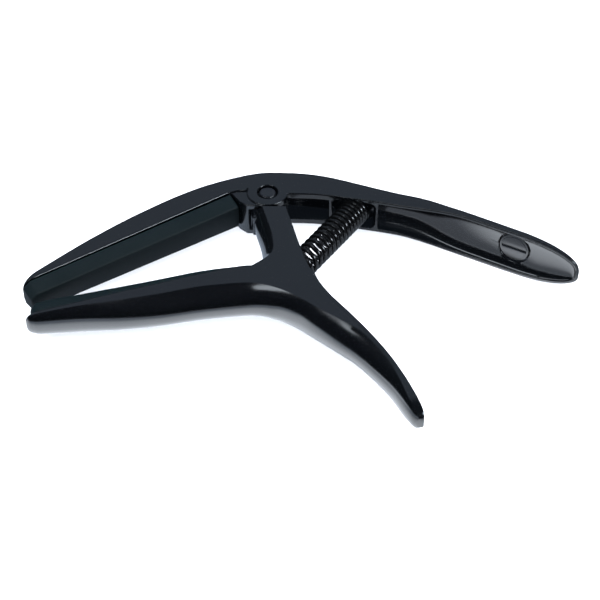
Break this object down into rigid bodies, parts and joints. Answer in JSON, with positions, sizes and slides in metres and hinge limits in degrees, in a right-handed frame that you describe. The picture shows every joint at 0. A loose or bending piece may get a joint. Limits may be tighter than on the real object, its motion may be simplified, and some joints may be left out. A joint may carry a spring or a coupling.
{
  "type": "guitar capo",
  "caption": "Spring-loaded trigger capo: a fret bar with a soft pad, a hinged lever whose jaw clamps behind the neck, and a curved squeeze handle.",
  "frame": {"origin": "middle of the bounding box's footprint, at the surface the capo lies on its side on", "axes": "+X runs from the tip of the fret bar to the end of the handle, +Y from the grip of the lever towards the spine, +Z across the width, up from the surface"},
  "size_m": [0.1262, 0.0786, 0.0123],
  "materials": {
    "cast_body": "satin black paint over a cast body",
    "silicone": "matt dark silicone",
    "black_steel": "glossy black plated steel",
    "plug": "glossy dark moulded plastic"
  },
  "bodies": {
    "arm": {"upper_arm": "cast_body", "fret_pad": "silicone", "pivot_pin": "black_steel", "return_spring": "black_steel", "handle_plug": "plug"},
    "lever": {"lower_lever": "cast_body", "neck_pad": "silicone"}
  },
  "joints": [
    {"name": "lever_hinge", "type": "hinge", "parent": "arm", "child": "lever", "pos_m": [-0.00835, 0.03048, 0.00615], "axis": [0, 0, 1], "range_deg": [0, 28], "stiffness_Nm_per_rad": 1.05, "springref_deg": -25.78, "deforming": ["return_spring"]}
  ]
}
